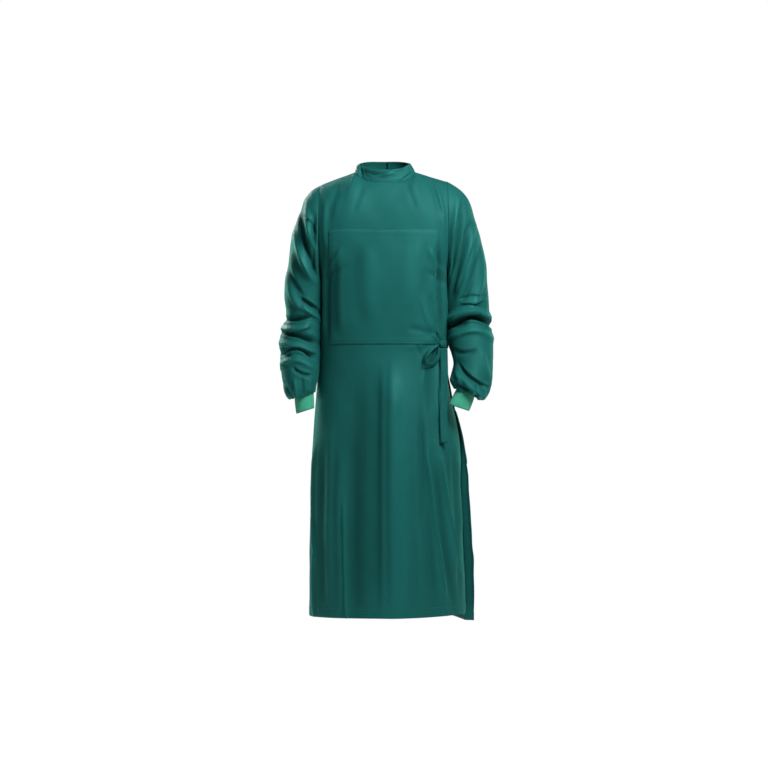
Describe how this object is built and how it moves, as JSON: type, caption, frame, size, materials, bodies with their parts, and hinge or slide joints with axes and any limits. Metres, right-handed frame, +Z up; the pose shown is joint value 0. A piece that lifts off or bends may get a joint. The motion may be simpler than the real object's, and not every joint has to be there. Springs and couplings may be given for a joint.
{
  "type": "surgical gown",
  "caption": "Reusable wrap-round surgical gown of green cloth with a stand collar, chest panel, rib-knit cuffs and a waist tie, in its hollow worn form",
  "frame": {"origin": "where the wearer's neck and shoulders hold the gown, at the foot of the neck, midway between the shoulders", "axes": "+X to the wearer's left, -Y to the front, +Z up"},
  "size_m": [0.5747, 0.3431, 1.2452],
  "materials": {
    "cloth": "fine twill, soft satin sheen",
    "rib_knit": "rib knit, matte",
    "tape": "folded tape of the same twill"
  },
  "bodies": {
    "root": {"front_panel": "cloth", "chest_panel": "cloth", "back_panel_right": "cloth", "back_panel_left": "cloth", "sleeve_right": "cloth", "sleeve_left": "cloth", "collar_band": "cloth", "cuff_right": "rib_knit", "cuff_left": "rib_knit", "waist_strap": "tape", "tie_knot": "tape", "tie_loop": "tape", "tie_end_front": "tape", "tie_end_back": "tape", "neck_tie_knot": "tape", "neck_tie_end_long": "tape", "neck_tie_end_short": "tape"}
  },
  "joints": []
}
